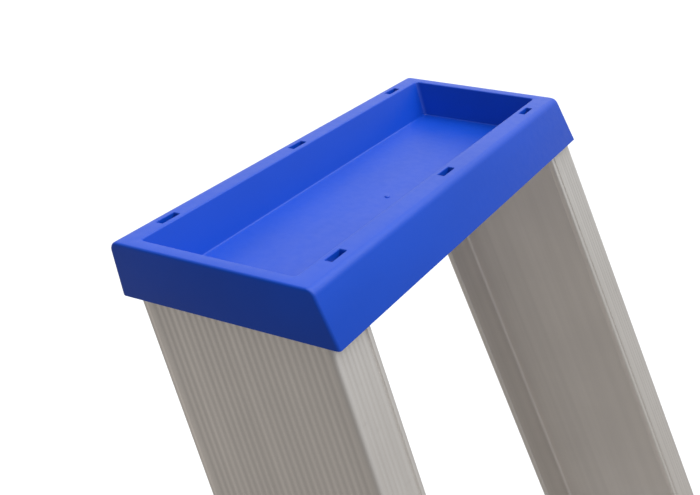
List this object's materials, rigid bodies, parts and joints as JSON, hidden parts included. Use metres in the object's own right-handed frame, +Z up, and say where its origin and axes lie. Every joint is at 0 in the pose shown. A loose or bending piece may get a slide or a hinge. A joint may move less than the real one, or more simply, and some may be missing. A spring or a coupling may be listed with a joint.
{
  "type": "platform step ladder",
  "caption": "Open aluminium step ladder with flat treads, a tip-up platform, a folding rear frame and a high guard rail that carries a blue tool tray.",
  "frame": {"origin": "on the floor, at the middle of the space that the open ladder covers", "axes": "+X across the ladder, to the right of someone climbing it; +Y from the climbed side to the rear legs; +Z up"},
  "size_m": [0.5472, 0.9644, 1.77],
  "materials": {
    "blue_plastic": "fine moulded texture, satin",
    "aluminium": "mill finish, ribbed extrusion",
    "zinc_steel": "zinc plated",
    "grey_nylon": "moulded, matt",
    "strap_webbing": "woven webbing",
    "foot_rubber": "matt, ribbed"
  },
  "bodies": {
    "front_frame": {"front_stile_left": "aluminium", "front_stile_right": "aluminium", "front_foot_left": "foot_rubber", "front_foot_right": "foot_rubber", "hinge_bracket_left": "aluminium", "hinge_bracket_right": "aluminium", "tread_1": "aluminium", "tread_2": "aluminium", "tread_3": "aluminium", "tread_4": "aluminium", "tread_1_rod_front": "zinc_steel", "tread_1_rod_rear": "zinc_steel", "tread_2_rod_front": "zinc_steel", "tread_2_rod_rear": "zinc_steel", "tread_3_rod_front": "zinc_steel", "tread_3_rod_rear": "zinc_steel", "tread_4_rod_front": "zinc_steel", "tread_4_rod_rear": "zinc_steel", "tool_tray": "blue_plastic", "tray_screw_left": "zinc_steel", "tray_screw_right": "zinc_steel", "support_tube": "aluminium", "tube_plug_left": "grey_nylon", "tube_plug_right": "grey_nylon", "hinge_bolt_left": "zinc_steel", "hinge_bolt_right": "zinc_steel", "platform_bolt_left": "zinc_steel", "platform_bolt_right": "zinc_steel", "platform_spacer_left": "grey_nylon", "platform_spacer_right": "grey_nylon", "spread_strap_left": "strap_webbing", "spread_strap_right": "strap_webbing", "strap_rivet_front_left": "zinc_steel", "strap_rivet_front_right": "zinc_steel"},
    "rear_frame": {"rear_leg_left": "aluminium", "rear_leg_right": "aluminium", "hinge_block_left": "blue_plastic", "hinge_block_right": "blue_plastic", "rear_foot_left": "foot_rubber", "rear_foot_right": "foot_rubber", "rear_crossbar_upper": "aluminium", "rear_crossbar_middle": "aluminium", "rear_crossbar_lower": "aluminium", "rear_brace_left": "aluminium", "rear_brace_right": "aluminium", "strap_rivet_rear_left": "zinc_steel", "strap_rivet_rear_right": "zinc_steel"},
    "platform": {"platform_deck": "aluminium", "platform_cap_left": "blue_plastic", "platform_cap_right": "blue_plastic", "platform_clip_left": "blue_plastic", "platform_clip_right": "blue_plastic"}
  },
  "joints": [
    {"name": "rear_fold", "type": "hinge", "parent": "front_frame", "child": "rear_frame", "pos_m": [0, 0.11615, 1.1092], "axis": [-1, 0, 0], "range_deg": [0, 40], "deforming": ["spread_strap_left", "spread_strap_right"]},
    {"name": "platform_tilt", "type": "hinge", "parent": "front_frame", "child": "platform", "pos_m": [0, 0.03783, 1.135], "axis": [1, 0, 0], "range_deg": [0, 66.5]}
  ]
}
